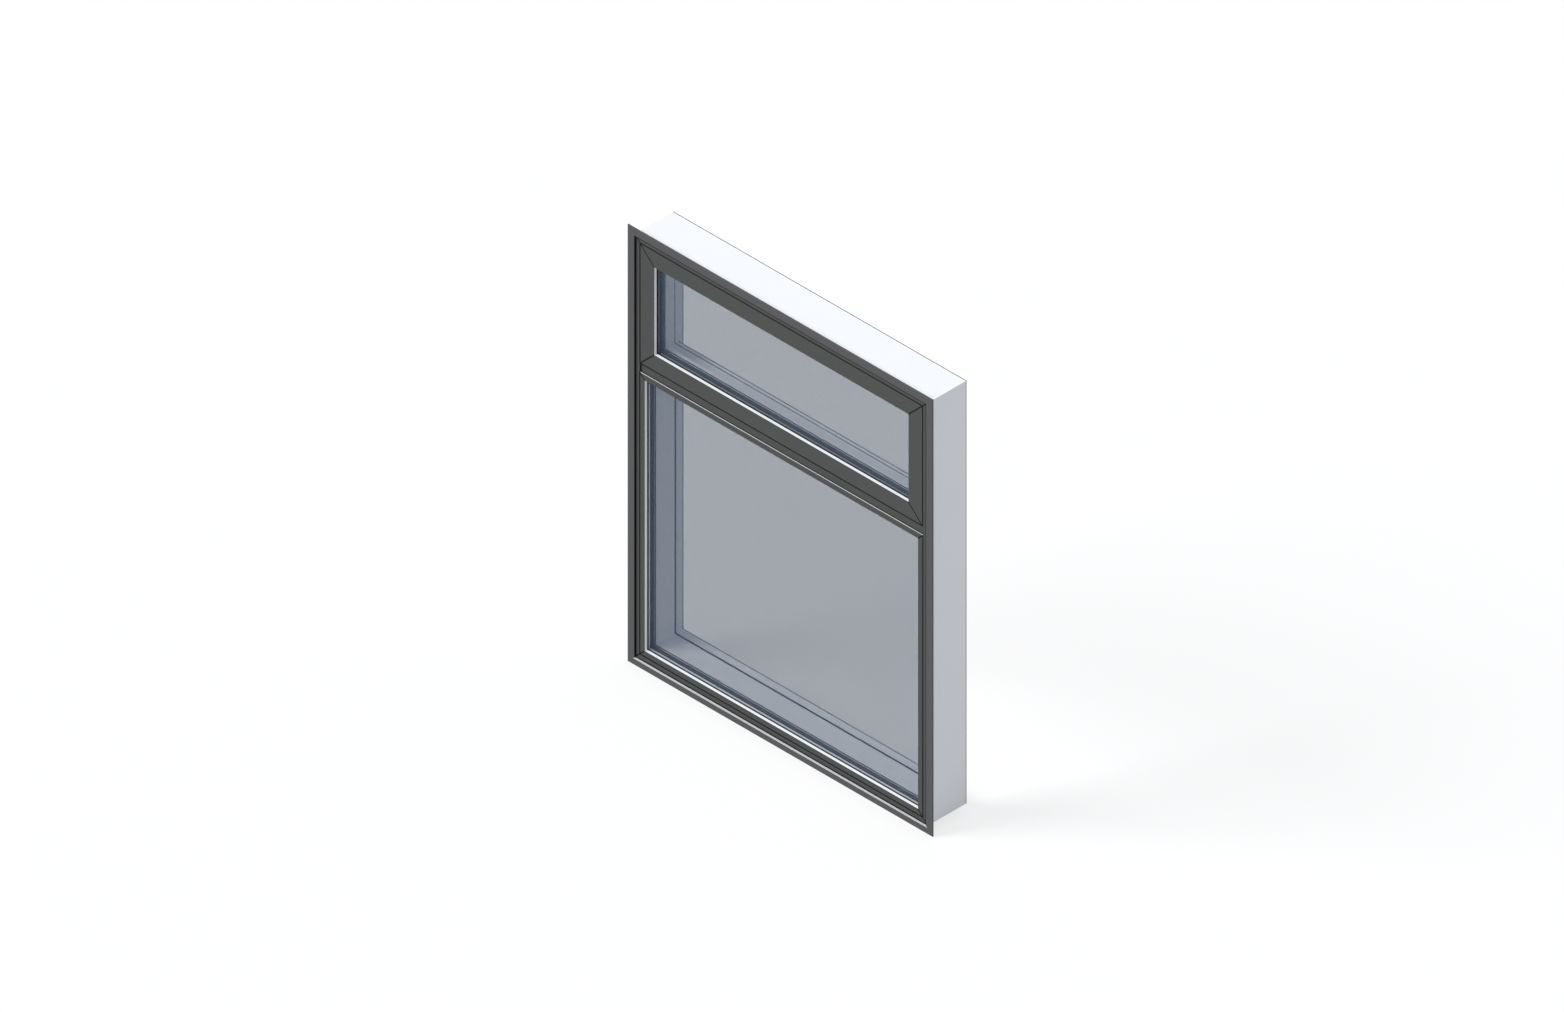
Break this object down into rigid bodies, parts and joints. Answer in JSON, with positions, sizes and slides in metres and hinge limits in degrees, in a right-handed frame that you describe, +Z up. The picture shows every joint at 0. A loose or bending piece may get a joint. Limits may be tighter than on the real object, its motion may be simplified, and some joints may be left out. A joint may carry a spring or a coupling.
{
  "type": "window with transom",
  "caption": "Fixed-light window with a transom sash above it, in a deep mitred frame whose flange laps the outer face of the wall.",
  "frame": {"origin": "on the back of the bottom flange, halfway along it and halfway up its lap on the wall", "axes": "+X to the right seen from outside, +Y into the wall, +Z up"},
  "size_m": [1.25, 0.164, 1.55],
  "materials": {
    "flange_grey": "satin powder coat, mid grey",
    "cover_anthracite": "satin powder coat, dark grey",
    "bead_anthracite": "satin powder coat, dark grey on the outer face, white in the return",
    "frame_white": "smooth satin white",
    "liner_white": "smooth satin white",
    "tinted_glass": "clear float with a faint blue-grey tint",
    "spacer_grey": "mill finish",
    "spacer_black": "matt black warm-edge spacer"
  },
  "bodies": {
    "root": {"fixed_bead_bottom": "bead_anthracite", "fixed_bead_left": "bead_anthracite", "fixed_bead_right": "bead_anthracite", "fixed_bead_top": "bead_anthracite", "fixed_pane_inner": "tinted_glass", "fixed_pane_middle": "tinted_glass", "fixed_pane_outer": "tinted_glass", "fixed_spacer_inner": "spacer_black", "fixed_spacer_outer": "spacer_grey", "flange_bottom": "flange_grey", "flange_left": "flange_grey", "flange_right": "flange_grey", "flange_top": "flange_grey", "frame_cover_head": "cover_anthracite", "frame_cover_left": "cover_anthracite", "frame_cover_right": "cover_anthracite", "frame_cover_sill": "cover_anthracite", "frame_head": "frame_white", "frame_jamb_left": "frame_white", "frame_jamb_right": "frame_white", "frame_sill": "frame_white", "liner_head": "liner_white", "liner_jamb_left": "liner_white", "liner_jamb_right": "liner_white", "liner_sill": "liner_white", "sash_bead_bottom": "frame_white", "sash_bead_left": "frame_white", "sash_bead_right": "frame_white", "sash_bead_top": "frame_white", "sash_bottom_rail": "frame_white", "sash_cover_bottom": "cover_anthracite", "sash_cover_left": "cover_anthracite", "sash_cover_right": "cover_anthracite", "sash_cover_top": "cover_anthracite", "sash_pane_inner": "tinted_glass", "sash_pane_middle": "tinted_glass", "sash_pane_outer": "tinted_glass", "sash_spacer_inner": "spacer_black", "sash_spacer_outer": "spacer_grey", "sash_stile_left": "frame_white", "sash_stile_right": "frame_white", "sash_top_rail": "frame_white", "transom_bar": "frame_white", "transom_bar_cover": "cover_anthracite", "transom_bar_liner": "liner_white"}
  },
  "joints": []
}
